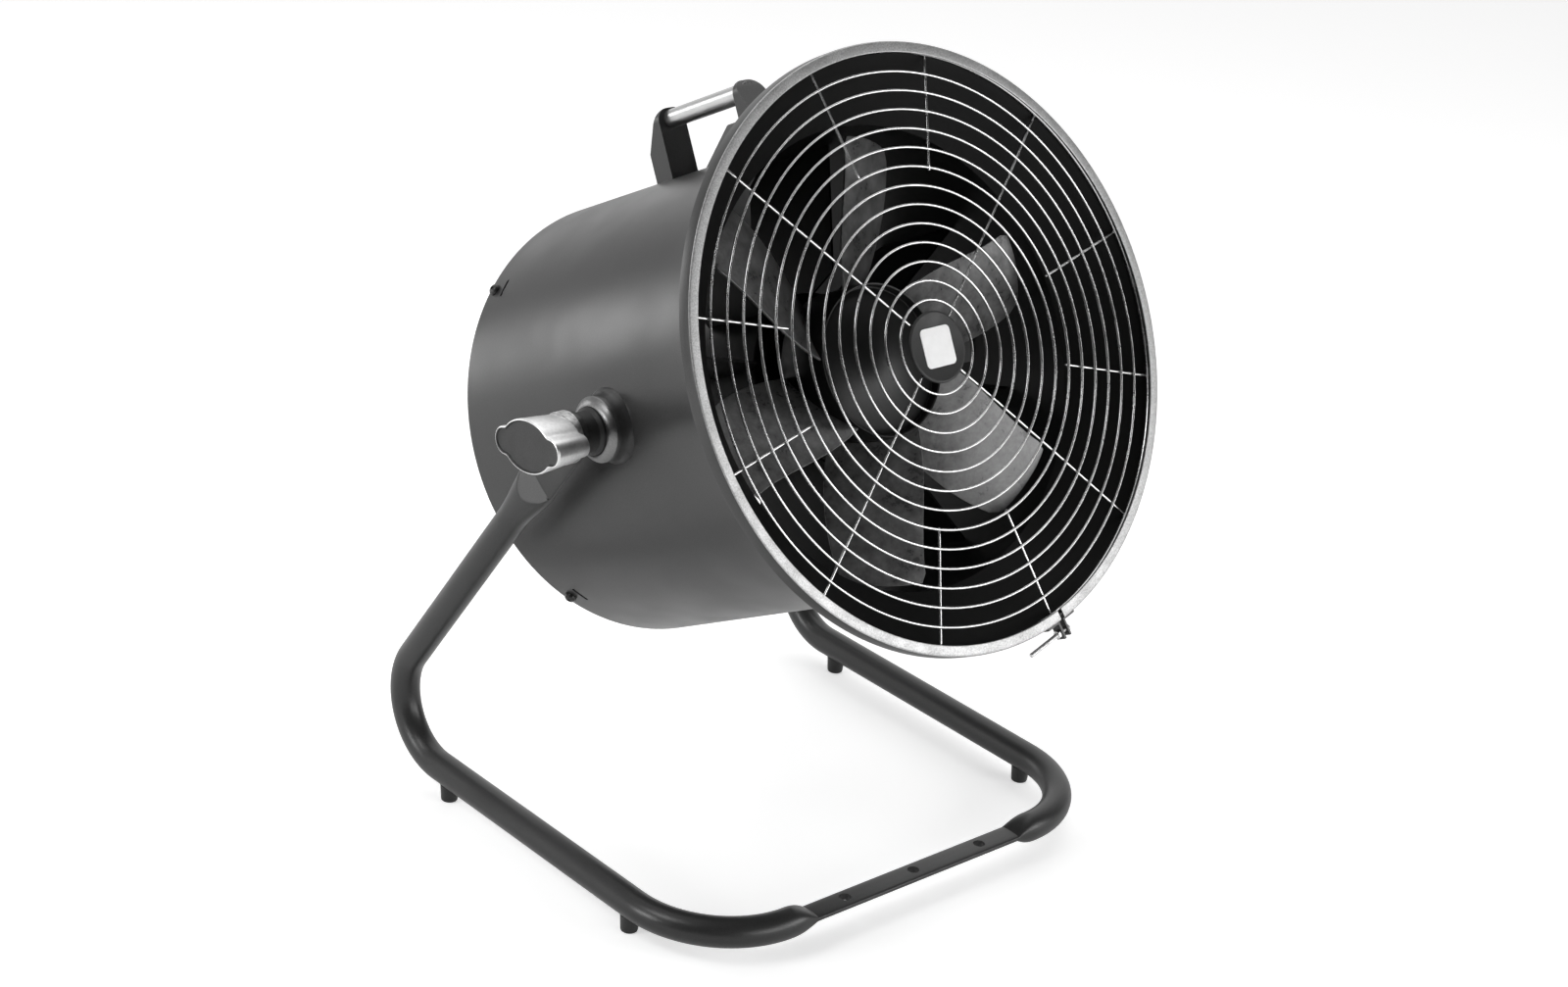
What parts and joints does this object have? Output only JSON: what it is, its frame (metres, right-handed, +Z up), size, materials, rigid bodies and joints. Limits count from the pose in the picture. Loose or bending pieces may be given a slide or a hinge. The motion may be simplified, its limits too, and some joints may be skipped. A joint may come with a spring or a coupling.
{
  "type": "drum fan",
  "caption": "Round drum fan with flared, caged mouth and twisted blades, tilting between clamping knobs on a bent-tube floor stand, with a carrying handle.",
  "frame": {"origin": "on the floor, under the middle of the whole fan's box", "axes": "+Z up, the fan blows towards -Y, the tilt axis is parallel to X"},
  "size_m": [0.525, 0.528, 0.6736],
  "materials": {
    "dark_powder": "fine textured powder coat",
    "satin_wire": "satin plated wire",
    "ring_steel": "satin sheet",
    "black_rubber": "matt",
    "cast_alloy": "cast and lightly polished",
    "bright_steel": "zinc plated",
    "black_steel": "black coat",
    "brushed_sheet": "brushed",
    "motor_casting": "dark coat",
    "black_plastic": "matt",
    "white_plate": "gloss",
    "handle_white": "satin"
  },
  "bodies": {
    "stand": {"foot_front_left": "black_rubber", "foot_front_right": "black_rubber", "foot_rear_left": "black_rubber", "foot_rear_right": "black_rubber", "stand_frame": "dark_powder"},
    "drum": {"centre_disc": "black_plastic", "centre_label": "white_plate", "clamp_ring": "ring_steel", "clamp_screw": "ring_steel", "clamp_tab_left": "ring_steel", "clamp_tab_right": "ring_steel", "control_box": "dark_powder", "control_lid": "dark_powder", "drum_shell": "dark_powder", "front_grille": "satin_wire", "guide_vane_1": "dark_powder", "guide_vane_2": "dark_powder", "guide_vane_3": "dark_powder", "guide_vane_4": "dark_powder", "guide_vane_5": "dark_powder", "guide_vane_6": "dark_powder", "guide_vane_7": "dark_powder", "guide_vane_8": "dark_powder", "handle_bracket_front": "dark_powder", "handle_bracket_rear": "dark_powder", "handle_screws": "bright_steel", "handle_tube": "handle_white", "motor_bolts": "bright_steel", "motor_cap_front": "motor_casting", "motor_cap_rear": "motor_casting", "motor_housing": "motor_casting", "pivot_dish_left": "dark_powder", "pivot_dish_right": "dark_powder", "pivot_stud_left": "bright_steel", "pivot_stud_right": "bright_steel", "pivot_washer_left": "black_rubber", "pivot_washer_right": "black_rubber", "power_inlet": "black_plastic", "rear_grille": "black_steel", "rear_screws": "black_steel"},
    "impeller": {"blade_1": "brushed_sheet", "blade_2": "brushed_sheet", "blade_3": "brushed_sheet", "blade_4": "brushed_sheet", "blade_5": "brushed_sheet", "blade_6": "brushed_sheet", "impeller_hub": "brushed_sheet", "motor_shaft": "bright_steel", "nose_cap": "brushed_sheet"},
    "knob_left": {"knob_left": "cast_alloy"},
    "knob_right": {"knob_right": "cast_alloy"},
    "dial": {"speed_dial": "black_plastic"},
    "rocker": {"power_rocker": "black_plastic"}
  },
  "joints": [
    {"name": "drum_tilt", "type": "hinge", "parent": "stand", "child": "drum", "pos_m": [0, 0.01065, 0.3804], "axis": [-1, 0, 0], "range_deg": [-105, 150]},
    {"name": "impeller_spin", "type": "hinge", "parent": "drum", "child": "impeller", "pos_m": [0, -0.07727, 0.42806], "axis": [0, -0.8792, 0.4765], "continuous": true},
    {"name": "knob_left_turn", "type": "hinge", "parent": "drum", "child": "knob_left", "pos_m": [-0.248, 0.01065, 0.3804], "axis": [-1, 0, 0], "range_deg": [0, 360]},
    {"name": "knob_right_turn", "type": "hinge", "parent": "drum", "child": "knob_right", "pos_m": [0.248, 0.01065, 0.3804], "axis": [1, 0, 0], "range_deg": [0, 360]},
    {"name": "speed_dial_turn", "type": "hinge", "parent": "drum", "child": "dial", "pos_m": [0.15501, 0.16875, 0.44125], "axis": [0, -0.8792, 0.4765], "range_deg": [0, 270]},
    {"name": "power_rocker_tilt", "type": "hinge", "parent": "drum", "child": "rocker", "pos_m": [0.13486, 0.17869, 0.45959], "axis": [0.6947, -0.3428, -0.6324], "range_deg": [0, 16.8]}
  ]
}
